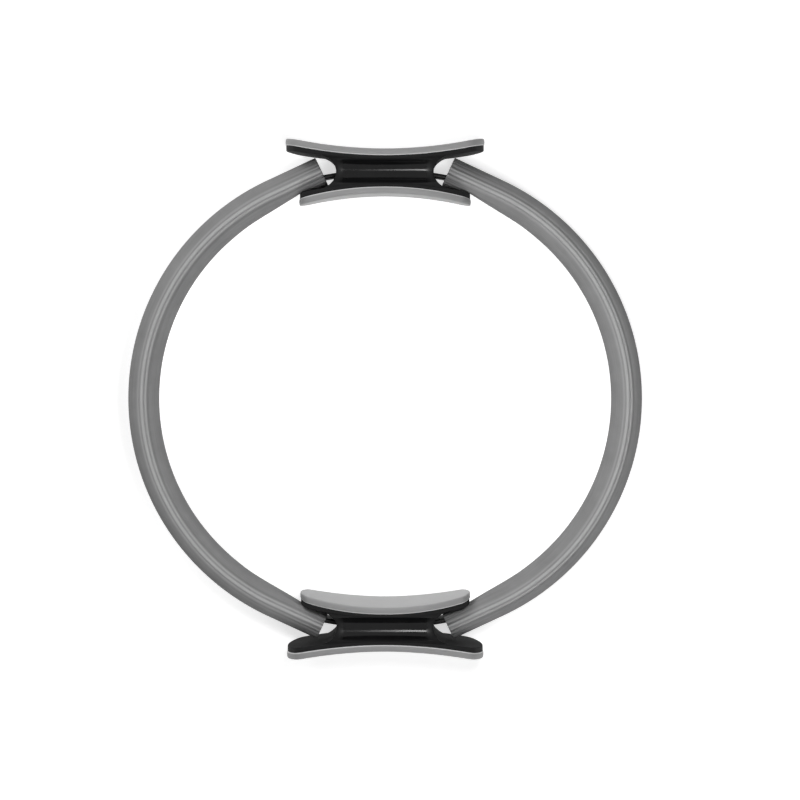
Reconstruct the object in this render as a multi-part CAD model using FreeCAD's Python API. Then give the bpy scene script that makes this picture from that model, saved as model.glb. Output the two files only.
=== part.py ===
import FreeCAD, Part
import math
import os

# Pilates ring, lying flat: two sprung half hoops run between two padded grips,
# and a foam sleeve covers each half hoop between the grips.
# X runs along the grips, Y from the south grip to the north grip, Z is up.
# The origin is on the floor, under the middle of the ring. All lengths are millimetres.

# Hoop: a flat band bent to half a circle, with straight tails that meet inside each grip
HOOP_RADIUS = 166.5
HOOP_OFFSET = 12.1
BAND_THICKNESS = 3.4
BAND_WIDTH = 20.0
BAND_BUTT_GAP = 2.0
BAND_CLEARANCE = 0.1

# Foam sleeve: an oval tube, straight and sloping towards its ends, cut square there
SLEEVE_END_SLOPE = 25.0
SLEEVE_THICKNESS = 22.8
SLEEVE_WIDTH = 28.0
SLEEVE_NOSE_RADIUS = 8.5
SLEEVE_NECK_GAP = 11.0
SLEEVE_CLEARANCE = 0.3

# Grip: places are measured outwards from the straight tails of the hoop
GRIP_WIDTH = 60.0
GRIP_OUTER_RISE = 16.7
GRIP_INNER_DROP = 15.8
PAD_THICKNESS = 5.0
PAD_EDGE_RADIUS = 1.2
GLUE_LINE = 0.15
FLANGE_THICKNESS = 2.0
FLANGE_TIP_THICKNESS = 4.0
FLANGE_EDGE_RADIUS = 0.7
FLANGE_INSET = 0.4

# Outer pad and flange, seen along Y
OUTER_LENGTH = 146.0
OUTER_SADDLE_RADIUS = 307.0
OUTER_FLAT_LENGTH = 36.0
OUTER_SHOULDER_RADIUS = 255.0
OUTER_END_RADIUS = 42.0
OUTER_CORNER_RADIUS = 10.0

# Inner pad and flange, seen along Y
INNER_LENGTH = 126.0
INNER_SADDLE_RADIUS = 243.0
INNER_FLAT_LENGTH = 16.0
INNER_SHOULDER_RADIUS = 124.0
INNER_END_RADIUS = 40.0
INNER_CORNER_RADIUS = 8.0

# Neck between the flanges, split along the outer face of the band, with a flared waist at both ends
NECK_LENGTH = 71.0
NECK_WIDTH = 41.5
NECK_FLARE = 15.0
NECK_EDGE_RADIUS = 1.5
NECK_INSET = 1.0
NECK_WALL = 4.5
POCKET_CORNER_RADIUS = 4.0
CLAMP_FLOOR = 3.0
SHELL_GAP = 0.05

# Screws that clamp the two shells on the band tails
SCREW_RADIUS = 1.75
SCREW_TIP_COVER = 2.4
SCREW_HEAD_RADIUS = 3.5
SCREW_HEAD_HEIGHT = 2.4
SCREW_RECESS_WIDTH = 1.0
SCREW_RECESS_DEPTH = 1.2
SCREW_RECESS_SPAN = 4.0
SCREW_FIRST_X = 9.0
SCREW_PITCH = 16.0
SCREWS_PER_TAIL = 2
HOLE_CLEARANCE = 0.25
THREAD_CLEARANCE = 0.05
BOSS_RADIUS = 4.0

# Places worked out from the driving dimensions
MID_HEIGHT = GRIP_WIDTH / 2
OUTER_FACE_Y = HOOP_RADIUS + GRIP_OUTER_RISE
INNER_FACE_Y = HOOP_RADIUS - GRIP_INNER_DROP
FLANGE_STEP = PAD_THICKNESS + GLUE_LINE
BAND_HALF = BAND_THICKNESS / 2
SLEEVE_HALF = SLEEVE_THICKNESS / 2
SEAM_RADIUS = HOOP_RADIUS + BAND_HALF + BAND_CLEARANCE
OUTER_AXIS_Y = OUTER_FACE_Y + OUTER_SADDLE_RADIUS
INNER_AXIS_Y = INNER_FACE_Y - INNER_SADDLE_RADIUS
SCREW_SEAT_Y = SEAM_RADIUS + CLAMP_FLOOR
SCREW_LENGTH = SCREW_SEAT_Y - INNER_FACE_Y - FLANGE_STEP - SCREW_TIP_COVER
NECK_GAP = OUTER_FACE_Y - INNER_FACE_Y - 2 * (FLANGE_STEP + FLANGE_THICKNESS)
WAIST_Y = (OUTER_FACE_Y + INNER_FACE_Y) / 2
GROOVE_DEPTH = (GRIP_WIDTH - NECK_WIDTH) / 2
GROOVE_RADIUS = (NECK_GAP**2 / 4 + GROOVE_DEPTH**2) / (2 * GROOVE_DEPTH)
QUARTER_BEND = 0.5523
CUT_MARGIN = 10.0
SAME_PLACE = 0.01

ALONG_X = FreeCAD.Vector(1, 0, 0)
ALONG_Y = FreeCAD.Vector(0, 1, 0)
ALONG_Z = FreeCAD.Vector(0, 0, 1)
CENTRE = FreeCAD.Vector(0, 0, 0)


def point(x, y, z=0.0):
    """Return a vector."""
    return FreeCAD.Vector(x, y, z)


def line(start, end):
    """Return a straight edge."""
    return Part.LineSegment(start, end).toShape()


def arc(start, through, end):
    """Return an arc edge through three points."""
    return Part.Arc(start, through, end).toShape()


def quarter_oval(start, corner, end):
    """Return a curve that follows a quarter of an oval and touches both legs of a corner."""
    curve = Part.BezierCurve()
    first_pole = start + (corner - start) * QUARTER_BEND
    second_pole = end + (corner - end) * QUARTER_BEND
    curve.setPoles([start, first_pole, second_pole, end])
    return curve.toShape()


def prism(edges, direction):
    """Return the solid that a closed outline of edges sweeps along a straight direction."""
    return Part.Face(Part.Wire(edges)).extrude(direction)


def cylinder_along_z(x, y, radius):
    """Return a cylinder through the whole height of the part and past both faces."""
    height = GRIP_WIDTH + 2 * CUT_MARGIN
    return Part.makeCylinder(radius, height, point(x, y, -CUT_MARGIN), ALONG_Z)


def half_turn(shape):
    """Return a copy turned half a turn about the Z axis, from north to south and right to left."""
    copy = shape.copy()
    copy.rotate(CENTRE, ALONG_Z, 180)
    return copy


def edges_along_y(solid):
    """Return the straight edges of a solid that run along Y."""
    found = []
    for edge in solid.Edges:
        if not isinstance(edge.Curve, Part.Line):
            continue
        if edge.Curve.Direction.cross(ALONG_Y).Length < SAME_PLACE:
            found.append(edge)
    return found


def circles_meet(first, second):
    """Return the crossing of two circles on the right of the way from the first centre to the second.

    Each circle is given as its centre's two places and its radius.
    """
    first_x, first_z, first_radius = first
    second_x, second_z, second_radius = second
    way_x = second_x - first_x
    way_z = second_z - first_z
    apart = math.hypot(way_x, way_z)
    along = (first_radius**2 - second_radius**2 + apart**2) / (2 * apart)
    aside = math.sqrt(first_radius**2 - along**2)
    meet_x = first_x + (along * way_x + aside * way_z) / apart
    meet_z = first_z + (along * way_z - aside * way_x) / apart
    return meet_x, meet_z


def grip_outline(length, width, flat_length, shoulder_radius, end_radius, corner_radius):
    """Return a tall prism along Y of a grip's outline: flat middle, arched shoulders, blunt ends."""
    half_length = length / 2
    half_width = width / 2
    flat = flat_length / 2
    shoulder = (flat, half_width - shoulder_radius, shoulder_radius)
    end = (half_length - end_radius, 0.0, end_radius)
    corner_x, corner_z = circles_meet(shoulder, end)
    shoulder_angle = math.asin((corner_x - flat) / shoulder_radius) / 2
    mid_x = flat + shoulder_radius * math.sin(shoulder_angle)
    mid_z = half_width - shoulder_radius * (1 - math.cos(shoulder_angle))

    def at(x, z):
        return point(x, 0, MID_HEIGHT + z)

    edges = [
        line(at(-flat, half_width), at(flat, half_width)),
        arc(at(flat, half_width), at(mid_x, mid_z), at(corner_x, corner_z)),
        arc(at(corner_x, corner_z), at(half_length, 0), at(corner_x, -corner_z)),
        arc(at(corner_x, -corner_z), at(mid_x, -mid_z), at(flat, -half_width)),
        line(at(flat, -half_width), at(-flat, -half_width)),
        arc(at(-flat, -half_width), at(-mid_x, -mid_z), at(-corner_x, -corner_z)),
        arc(at(-corner_x, -corner_z), at(-half_length, 0), at(-corner_x, corner_z)),
        arc(at(-corner_x, corner_z), at(-mid_x, mid_z), at(-flat, half_width)),
    ]
    solid = prism(edges, ALONG_Y * (2 * OUTER_FACE_Y))
    corners = [
        edge
        for edge in edges_along_y(solid)
        if abs(edge.CenterOfMass.x) > flat + SAME_PLACE
    ]
    return solid.makeFillet(corner_radius, corners)


def outer_outline(inset):
    """Return the outline of the outer pad, or of its flange a little inside it."""
    return grip_outline(
        OUTER_LENGTH - 2 * inset,
        GRIP_WIDTH - 2 * inset,
        OUTER_FLAT_LENGTH,
        OUTER_SHOULDER_RADIUS,
        OUTER_END_RADIUS,
        OUTER_CORNER_RADIUS,
    )


def inner_outline(inset):
    """Return the outline of the inner pad, or of its flange a little inside it."""
    return grip_outline(
        INNER_LENGTH - 2 * inset,
        GRIP_WIDTH - 2 * inset,
        INNER_FLAT_LENGTH,
        INNER_SHOULDER_RADIUS,
        INNER_END_RADIUS,
        INNER_CORNER_RADIUS,
    )


def flange_back(seat_radius, half_length):
    """Return the radius of a flange's back face, which leaves the flange thicker towards its tips."""
    seat_sag = seat_radius - math.sqrt(seat_radius**2 - half_length**2)
    back_sag = seat_sag - (FLANGE_TIP_THICKNESS - FLANGE_THICKNESS)
    return (half_length**2 + back_sag**2) / (2 * back_sag)


def outer_back():
    """Return the axis place and the radius of the outer flange's back face."""
    radius = flange_back(OUTER_SADDLE_RADIUS + FLANGE_STEP, OUTER_LENGTH / 2)
    return OUTER_FACE_Y - FLANGE_STEP - FLANGE_THICKNESS + radius, radius


def inner_back():
    """Return the axis place and the radius of the inner flange's back face."""
    radius = flange_back(INNER_SADDLE_RADIUS + FLANGE_STEP, INNER_LENGTH / 2)
    return INNER_FACE_Y + FLANGE_STEP + FLANGE_THICKNESS - radius, radius


def back_y(back, x):
    """Return where a flange's back face lies at a place along the grip, given its axis and radius."""
    axis_y, radius = back
    rise = math.sqrt(radius**2 - x**2)
    return axis_y - math.copysign(rise, axis_y - WAIST_Y)


def rounded_block(length, width, low_y, high_y, corner_radius):
    """Return a block along Y, centred on the grip, with its four long edges rounded."""
    corner = point(-length / 2, low_y, MID_HEIGHT - width / 2)
    block = Part.makeBox(length, high_y - low_y, width, corner)
    return block.makeFillet(corner_radius, edges_along_y(block))


def edges_on(solid, axis_y, radius):
    """Return the edges of a solid that lie on a saddle face, given its axis place and radius."""
    found = []
    for edge in solid.Edges:
        span = edge.LastParameter - edge.FirstParameter
        places = [edge.valueAt(edge.FirstParameter + span * share) for share in (0.1, 0.5, 0.9)]
        off_face = [abs(math.hypot(place.x, place.y - axis_y) - radius) for place in places]
        if max(off_face) < SAME_PLACE:
            found.append(edge)
    return found


def groove(side):
    """Return the half-round groove along the neck's upper face, or its lower face for side -1."""
    valley_z = MID_HEIGHT + side * NECK_WIDTH / 2
    start = point(-OUTER_LENGTH, WAIST_Y, valley_z + side * GROOVE_RADIUS)
    return Part.makeCylinder(GROOVE_RADIUS, 2 * OUTER_LENGTH, start, ALONG_X)


def waist(clearance):
    """Return a tall prism of the neck's flared waist, longer by a clearance at both ends."""
    waist_x = NECK_LENGTH / 2 + clearance
    flare_x = waist_x + NECK_FLARE
    low_z = MID_HEIGHT - NECK_WIDTH / 2 - 2 * GROOVE_RADIUS - CUT_MARGIN
    outer_y = back_y(outer_back(), flare_x)
    inner_y = back_y(inner_back(), flare_x)

    def at(x, y):
        return point(x, y, low_z)

    edges = [
        quarter_oval(at(waist_x, WAIST_Y), at(waist_x, outer_y), at(flare_x, outer_y)),
        line(at(flare_x, outer_y), at(-flare_x, outer_y)),
        quarter_oval(at(-flare_x, outer_y), at(-waist_x, outer_y), at(-waist_x, WAIST_Y)),
        quarter_oval(at(-waist_x, WAIST_Y), at(-waist_x, inner_y), at(-flare_x, inner_y)),
        line(at(-flare_x, inner_y), at(flare_x, inner_y)),
        quarter_oval(at(flare_x, inner_y), at(waist_x, inner_y), at(waist_x, WAIST_Y)),
    ]
    return prism(edges, ALONG_Z * 2 * (MID_HEIGHT - low_z))


def neck():
    """Return the neck between the flanges, flared at both ends, with a groove above and below."""
    solid = waist(0.0).cut([groove(1), groove(-1)])
    solid = solid.makeFillet(NECK_EDGE_RADIUS, groove_mouths(solid))
    return solid.common(inner_outline(FLANGE_INSET + NECK_INSET))


def groove_mouths(solid):
    """Return the edges of the neck where its grooves run out at its flared ends."""
    found = []
    for edge in solid.Edges:
        span = edge.LastParameter - edge.FirstParameter
        places = [edge.valueAt(edge.FirstParameter + span * share) for share in (0.1, 0.5, 0.9)]
        offsets = [
            math.hypot(place.y - WAIST_Y, abs(place.z - MID_HEIGHT) - NECK_WIDTH / 2 - GROOVE_RADIUS)
            for place in places
        ]
        on_groove = max(abs(offset - GROOVE_RADIUS) for offset in offsets) < SAME_PLACE
        on_flare = edge.BoundBox.XLength < NECK_FLARE
        if on_groove and on_flare and edge.BoundBox.YLength > SAME_PLACE:
            found.append(edge)
    return found


def flange(outline, back, seat):
    """Return a flange between its back face and its pad's seat, with its back rim rounded.

    Each face is given as its axis place and its radius.
    """
    layer = outline.common(cylinder_along_z(0, *back)).cut(cylinder_along_z(0, *seat))
    return layer.makeFillet(FLANGE_EDGE_RADIUS, edges_on(layer, *back))


def grip_body():
    """Return the whole spool of a grip, before it is split into its two shells."""
    outer_seat = (OUTER_AXIS_Y, OUTER_SADDLE_RADIUS + FLANGE_STEP)
    inner_seat = (INNER_AXIS_Y, INNER_SADDLE_RADIUS + FLANGE_STEP)
    outer_flange = flange(outer_outline(FLANGE_INSET), outer_back(), outer_seat)
    inner_flange = flange(inner_outline(FLANGE_INSET), inner_back(), inner_seat)
    middle = neck().cut([cylinder_along_z(0, *outer_seat), cylinder_along_z(0, *inner_seat)])
    return middle.fuse([outer_flange, inner_flange]).removeSplitter()


def hoop_track(radius, low_z, high_z):
    """Return the solid inside a track of two half circles joined by straights, between two heights."""
    left = point(-HOOP_OFFSET, radius, low_z)
    right = point(HOOP_OFFSET, radius, low_z)
    edges = [
        line(left, right),
        arc(right, point(HOOP_OFFSET + radius, 0, low_z), point(HOOP_OFFSET, -radius, low_z)),
        line(point(HOOP_OFFSET, -radius, low_z), point(-HOOP_OFFSET, -radius, low_z)),
        arc(point(-HOOP_OFFSET, -radius, low_z), point(-HOOP_OFFSET - radius, 0, low_z), left),
    ]
    return prism(edges, ALONG_Z * (high_z - low_z))


def hoop_layer(clearance, width):
    """Return the closed track that both bands follow, grown by a clearance on all sides."""
    low_z = MID_HEIGHT - width / 2 - clearance
    high_z = MID_HEIGHT + width / 2 + clearance
    outside = hoop_track(HOOP_RADIUS + BAND_HALF + clearance, low_z, high_z)
    inside = hoop_track(HOOP_RADIUS - BAND_HALF - clearance, low_z, high_z)
    return outside.cut(inside)


def screw_places():
    """Return the X places of the screws of one grip."""
    tail = [SCREW_FIRST_X + SCREW_PITCH * number for number in range(SCREWS_PER_TAIL)]
    return [side * x for side in (-1, 1) for x in tail]


def upright_rod(x, radius, top_y, length):
    """Return a rod along Y at the middle height, from its top end towards the ring's middle."""
    return Part.makeCylinder(radius, length, point(x, top_y, MID_HEIGHT), ALONG_Y * -1)


def outer_shell(body):
    """Return the outer half of a grip: flange, half neck and the floor that presses on the band."""
    seam = hoop_track(SEAM_RADIUS, -CUT_MARGIN, GRIP_WIDTH + CUT_MARGIN)
    shell = body.cut(seam)
    pocket = rounded_block(
        NECK_LENGTH - 2 * NECK_WALL,
        NECK_WIDTH - 2 * NECK_WALL,
        SCREW_SEAT_Y,
        OUTER_FACE_Y,
        POCKET_CORNER_RADIUS,
    )
    shell = shell.cut(pocket)
    holes = [
        upright_rod(x, SCREW_RADIUS + HOLE_CLEARANCE, OUTER_FACE_Y, OUTER_FACE_Y - INNER_FACE_Y)
        for x in screw_places()
    ]
    return shell.cut(holes)


def inner_shell(body):
    """Return the inner half of a grip: flange, half neck, the band's channel and screw bosses."""
    seam = hoop_track(SEAM_RADIUS - SHELL_GAP, -CUT_MARGIN, GRIP_WIDTH + CUT_MARGIN)
    shell = body.common(seam)
    floor_y = HOOP_RADIUS - BAND_HALF - BAND_CLEARANCE - CLAMP_FLOOR
    pocket = rounded_block(
        NECK_LENGTH - 2 * NECK_WALL,
        NECK_WIDTH - 2 * NECK_WALL,
        INNER_FACE_Y,
        floor_y,
        POCKET_CORNER_RADIUS,
    )
    bosses = [
        upright_rod(x, BOSS_RADIUS, floor_y + CLAMP_FLOOR / 2, floor_y - INNER_FACE_Y)
        for x in screw_places()
    ]
    shell = shell.cut(pocket.cut(bosses))
    shell = shell.cut(hoop_layer(BAND_CLEARANCE, BAND_WIDTH))
    holes = [
        upright_rod(x, SCREW_RADIUS + THREAD_CLEARANCE, SCREW_SEAT_Y, SCREW_LENGTH + HOLE_CLEARANCE)
        for x in screw_places()
    ]
    return shell.cut(holes)


def pad(outline, axis_y, saddle_radius):
    """Return a grip pad with its exposed rim rounded, given its outline and its saddle face."""
    back = cylinder_along_z(0, axis_y, saddle_radius + PAD_THICKNESS)
    face = cylinder_along_z(0, axis_y, saddle_radius)
    solid = outline.common(back).cut(face)
    return solid.makeFillet(PAD_EDGE_RADIUS, edges_on(solid, axis_y, saddle_radius))


def outer_pad():
    """Return the pad on the outer flange."""
    return pad(outer_outline(0.0), OUTER_AXIS_Y, OUTER_SADDLE_RADIUS)


def inner_pad():
    """Return the pad on the inner flange."""
    return pad(inner_outline(0.0), INNER_AXIS_Y, INNER_SADDLE_RADIUS)


def screw(x):
    """Return one pan head screw with a cross recess, seated on the outer shell's floor."""
    top_y = SCREW_SEAT_Y + SCREW_HEAD_HEIGHT
    head = upright_rod(x, SCREW_HEAD_RADIUS, top_y, SCREW_HEAD_HEIGHT)
    shank = upright_rod(x, SCREW_RADIUS, SCREW_SEAT_Y, SCREW_LENGTH)
    solid = head.fuse(shank).removeSplitter()
    for span_x, span_z in (
        (SCREW_RECESS_SPAN, SCREW_RECESS_WIDTH),
        (SCREW_RECESS_WIDTH, SCREW_RECESS_SPAN),
    ):
        corner = point(x - span_x / 2, top_y - SCREW_RECESS_DEPTH, MID_HEIGHT - span_z / 2)
        solid = solid.cut(Part.makeBox(span_x, SCREW_RECESS_DEPTH, span_z, corner))
    return solid


def grip_screws():
    """Return the screws of one grip as a group of separate solids."""
    return Part.makeCompound([screw(x) for x in screw_places()])


def right_band():
    """Return the right half hoop with its straight tails and screw holes."""
    reach = HOOP_OFFSET + HOOP_RADIUS + BAND_THICKNESS
    depth = 2 * (HOOP_RADIUS + BAND_THICKNESS)
    corner = point(BAND_BUTT_GAP / 2, -depth / 2, 0)
    right_side = Part.makeBox(reach, depth, GRIP_WIDTH, corner)
    band = hoop_layer(0.0, BAND_WIDTH).common(right_side)
    holes = [
        upright_rod(x, SCREW_RADIUS + HOLE_CLEARANCE, depth / 2, depth)
        for x in screw_places()
        if x > 0
    ]
    return band.cut(holes)


def sleeve_section():
    """Return the oval face of a sleeve where it crosses the X axis, drawn with four arcs."""
    nose = SLEEVE_NOSE_RADIUS
    half_width = SLEEVE_WIDTH / 2
    nose_z = half_width - nose
    flank = (SLEEVE_HALF**2 + nose_z**2 - nose**2) / (2 * (SLEEVE_HALF - nose))
    flank_r = SLEEVE_HALF - flank
    tangent = math.atan2(nose_z, -flank_r)
    meet_r = flank_r + flank * math.cos(tangent)
    meet_z = flank * math.sin(tangent)

    def at(r, z):
        return point(HOOP_OFFSET + HOOP_RADIUS + r, 0, MID_HEIGHT + z)

    edges = [
        arc(at(meet_r, -meet_z), at(SLEEVE_HALF, 0), at(meet_r, meet_z)),
        arc(at(meet_r, meet_z), at(0, half_width), at(-meet_r, meet_z)),
        arc(at(-meet_r, meet_z), at(-SLEEVE_HALF, 0), at(-meet_r, -meet_z)),
        arc(at(-meet_r, -meet_z), at(0, -half_width), at(meet_r, -meet_z)),
    ]
    return Part.Face(Part.Wire(edges))


def grip_room(clearance):
    """Return the space that the north grip's flanges and neck press out of the foam sleeves."""
    outer_axis_y, outer_radius = outer_back()
    inner_axis_y, inner_radius = inner_back()
    outer_side = cylinder_along_z(0, outer_axis_y, outer_radius + clearance)
    inner_side = cylinder_along_z(0, inner_axis_y, inner_radius + clearance)
    outer_room = outer_outline(-clearance).common(outer_side)
    inner_room = inner_outline(-clearance).common(inner_side)
    return waist(clearance).fuse([outer_room, inner_room])


def right_sleeve():
    """Return the right foam sleeve, hollow for the band and pressed in by both grips."""
    bend_angle = 90 - SLEEVE_END_SLOPE
    slope = math.radians(SLEEVE_END_SLOPE)
    bend_x = HOOP_OFFSET + HOOP_RADIUS * math.sin(slope)
    end_x = NECK_LENGTH / 2 + SLEEVE_NECK_GAP
    way = point(end_x - bend_x, (bend_x - end_x) * math.tan(slope))
    hoop_centre = point(HOOP_OFFSET, 0, 0)
    north_face = sleeve_section()
    north_face.rotate(hoop_centre, ALONG_Z, bend_angle)
    south_face = sleeve_section()
    south_face.rotate(hoop_centre, ALONG_Z, -bend_angle)
    bend = south_face.revolve(hoop_centre, ALONG_Z, 2 * bend_angle)
    north_end = north_face.extrude(way)
    south_end = south_face.extrude(point(way.x, -way.y))
    sleeve = bend.fuse([north_end, south_end]).removeSplitter()
    room = grip_room(SLEEVE_CLEARANCE)
    return sleeve.cut([hoop_layer(SLEEVE_CLEARANCE, BAND_WIDTH), room, half_turn(room)])


def grip(name):
    """Return the pieces of the north grip, named for the grip that they will belong to."""
    body = grip_body()
    return {
        name + "_outer_shell": outer_shell(body),
        name + "_inner_shell": inner_shell(body),
        name + "_outer_pad": outer_pad(),
        name + "_inner_pad": inner_pad(),
        name + "_screws": grip_screws(),
    }


def main():
    """Build every piece and write one file for each."""
    pieces = grip("north")
    for name, shape in grip("south").items():
        pieces[name] = half_turn(shape)
    pieces["right_band"] = right_band()
    pieces["left_band"] = half_turn(pieces["right_band"])
    pieces["right_sleeve"] = right_sleeve()
    pieces["left_sleeve"] = half_turn(pieces["right_sleeve"])
    os.makedirs("parts", exist_ok=True)
    for name, shape in pieces.items():
        print(name, "solids", len(shape.Solids), "valid", shape.isValid(), "volume", round(shape.Volume))
        shape.exportStep("parts/" + name + ".step")


main()
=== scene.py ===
"""Pilates ring, dressed: foam sleeves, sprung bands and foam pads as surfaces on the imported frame."""
import logging
from dataclasses import dataclass
from enum import Enum
from typing import Optional

import bmesh
import bpy
import numpy as np
from mathutils import Matrix, Vector


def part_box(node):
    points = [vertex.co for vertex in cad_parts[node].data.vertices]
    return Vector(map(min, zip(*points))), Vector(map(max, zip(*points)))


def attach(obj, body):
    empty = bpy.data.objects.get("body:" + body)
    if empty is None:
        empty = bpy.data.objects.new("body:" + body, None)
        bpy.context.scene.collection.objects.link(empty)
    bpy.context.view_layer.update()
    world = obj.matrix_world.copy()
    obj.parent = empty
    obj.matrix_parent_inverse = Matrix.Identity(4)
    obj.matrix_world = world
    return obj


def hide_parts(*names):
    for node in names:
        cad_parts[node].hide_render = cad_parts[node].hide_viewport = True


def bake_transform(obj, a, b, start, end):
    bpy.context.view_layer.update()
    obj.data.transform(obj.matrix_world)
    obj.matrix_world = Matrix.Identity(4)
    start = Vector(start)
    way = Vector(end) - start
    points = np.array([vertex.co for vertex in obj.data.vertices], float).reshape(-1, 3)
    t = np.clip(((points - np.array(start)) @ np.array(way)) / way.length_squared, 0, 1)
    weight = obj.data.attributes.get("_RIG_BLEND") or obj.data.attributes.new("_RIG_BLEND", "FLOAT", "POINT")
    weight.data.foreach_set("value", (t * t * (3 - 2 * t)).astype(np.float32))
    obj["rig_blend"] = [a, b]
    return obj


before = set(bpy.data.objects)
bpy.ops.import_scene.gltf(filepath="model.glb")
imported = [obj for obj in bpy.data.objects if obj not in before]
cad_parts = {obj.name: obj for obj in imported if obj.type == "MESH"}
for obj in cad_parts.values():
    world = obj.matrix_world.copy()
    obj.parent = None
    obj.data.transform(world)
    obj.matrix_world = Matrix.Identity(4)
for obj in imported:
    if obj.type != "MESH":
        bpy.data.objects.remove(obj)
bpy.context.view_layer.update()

log = logging.getLogger("pilates_ring")

Colour = tuple[float, float, float]
Place = tuple[float, float, float]
Span = tuple[float, float]
Socket = bpy.types.NodeSocket

MM = 0.001
# Points nearer to each other than this become one point.
SAME_POINT = 2e-6
# Points on each arc of a pad's outline and on each corner of a slot.
OUTLINE_POINTS = 200
CORNER_POINTS = 9
# Most values of one cloud, and of two clouds added, lie in these spans.
ONE_CLOUD: Span = (0.3, 0.7)
TWO_CLOUDS: Span = (0.7, 1.3)
# Numbers of a colour mix's sockets: the share, the first and the second colour, and the result.
MIX_SOCKETS = (0, 6, 7)
MIX_RESULT = 2


class Side(Enum):
    """The two grips, and the half turn that brings the north one to the south."""

    NORTH = 1.0
    SOUTH = -1.0


class Hand(Enum):
    """The two half hoops, and the half turn that brings the right one to the left."""

    RIGHT = 1.0
    LEFT = -1.0


class Layer(Enum):
    """The two pads of a grip: the outer one faces away from the ring's middle, the inner one faces it."""

    OUTER = "outer_pad"
    INNER = "inner_pad"


def half_turned(points: np.ndarray, sign: float) -> np.ndarray:
    """Turn places half a turn about the ring's axis where the sign is -1, and leave them where it is 1."""
    return points * np.array([sign, sign, 1.0])


def smooth_step(value: np.ndarray) -> np.ndarray:
    """Ease from 0 to 1 as a value goes from 0 to 1: three squares less two cubes."""
    share = np.clip(value, 0.0, 1.0)
    return share * share * (3.0 - 2.0 * share)


def bell(value: np.ndarray, middle: float, width: float) -> np.ndarray:
    """Give a bell curve: e to the minus square of the way from the middle, counted in widths."""
    return np.exp(-(((value - middle) / width) ** 2))


def add_object(name: str, data: bpy.types.ID) -> bpy.types.Object:
    """Put a mesh, a lamp or a camera into the scene as a new object.

    Args:
        name: The object's name.
        data: What the object holds.

    Returns:
        The object, at the origin.
    """
    made = bpy.data.objects.new(name, data)
    bpy.context.scene.collection.objects.link(made)
    return made


def spread_evenly(line: np.ndarray, count: int, closed: bool) -> np.ndarray:
    """Place points at even steps along a line of many points.

    Args:
        line: Dense points, one row each.
        count: How many points to place.
        closed: Whether the line returns to its first point.

    Returns:
        The evenly spread points, one row each.
    """
    dense = np.vstack([line, line[:1]]) if closed else line
    walked = np.concatenate([[0.0], np.cumsum(np.linalg.norm(np.diff(dense, axis=0), axis=1))])
    stops = np.linspace(0.0, walked[-1], count, endpoint=not closed)
    return np.stack([np.interp(stops, walked, column) for column in dense.T], axis=-1)


def arc_points(centre: tuple[float, float], radius: float, start: float, end: float,
               count: int) -> np.ndarray:
    """Give points on an arc: the centre plus the radius along evenly stepped angles, from start to end."""
    angle = np.linspace(start, end, count)
    return np.stack([centre[0] + radius * np.cos(angle), centre[1] + radius * np.sin(angle)], axis=-1)


@dataclass
class Surface:
    """A grid of points in space that becomes one closed piece.

    Rows run along the piece and columns go round it. The last column joins the first, and the last row
    joins the first where the surface is a ring in both directions.
    """

    name: str
    points: np.ndarray
    uv: np.ndarray
    rows_close: bool = False
    attributes: Optional[dict[str, np.ndarray]] = None

    def cells(self) -> np.ndarray:
        """Give the four corner numbers of each cell, as rows of whole numbers.

        Returns:
            One row of four point numbers for each cell.
        """
        rows, columns = self.points.shape[:2]
        number = np.arange(rows * columns).reshape(rows, columns)
        here = number if self.rows_close else number[:-1]
        ahead = np.roll(number, -1, axis=0) if self.rows_close else number[1:]
        corners = [here, ahead, np.roll(ahead, -1, axis=1), np.roll(here, -1, axis=1)]
        return np.stack(corners, axis=-1).reshape(-1, 4)

    def corner_uv(self) -> np.ndarray:
        """Give the surface coordinates at each cell's corners, with the last strip left unwrapped.

        Returns:
            One row for each corner of each cell.
        """
        low, high = self.uv[:-1], self.uv[1:]
        corners = [low[:, :-1], high[:, :-1], high[:, 1:], low[:, 1:]]
        return np.stack(corners, axis=-2).reshape(-1, 2)

    def build(self) -> bpy.types.Object:
        """Put the grid into a mesh object, close its seams and turn its faces outwards.

        Returns:
            The new object, at the origin.
        """
        mesh = bpy.data.meshes.new(self.name)
        cells = self.cells()
        mesh.vertices.add(self.points.shape[0] * self.points.shape[1])
        mesh.vertices.foreach_set("co", self.points.astype(np.float32).ravel())
        mesh.loops.add(cells.size)
        mesh.loops.foreach_set("vertex_index", cells.ravel().astype(np.int32))
        mesh.polygons.add(len(cells))
        mesh.polygons.foreach_set("loop_start", np.arange(0, cells.size, 4, dtype=np.int32))
        corner_uv = self.corner_uv().astype(np.float32)
        mesh.uv_layers.new(name="UVMap").uv.foreach_set("vector", corner_uv.ravel())
        for key, values in (self.attributes or {}).items():
            layer = mesh.attributes.new(key, "FLOAT", "POINT")
            layer.data.foreach_set("value", values.astype(np.float32).ravel())
        mesh.update(calc_edges=True)
        self.close_seams(mesh)
        mesh.shade_smooth()
        return add_object(self.name, mesh)

    @staticmethod
    def close_seams(mesh: bpy.types.Mesh) -> None:
        """Merge points that share a place, drop the cells that this flattens and face the rest outwards.

        Args:
            mesh: The mesh to close.
        """
        board = bmesh.new()
        board.from_mesh(mesh)
        bmesh.ops.remove_doubles(board, verts=board.verts, dist=SAME_POINT)
        bmesh.ops.dissolve_degenerate(board, edges=board.edges, dist=SAME_POINT / 2)
        bmesh.ops.recalc_face_normals(board, faces=board.faces)
        board.to_mesh(mesh)
        board.free()


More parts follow.
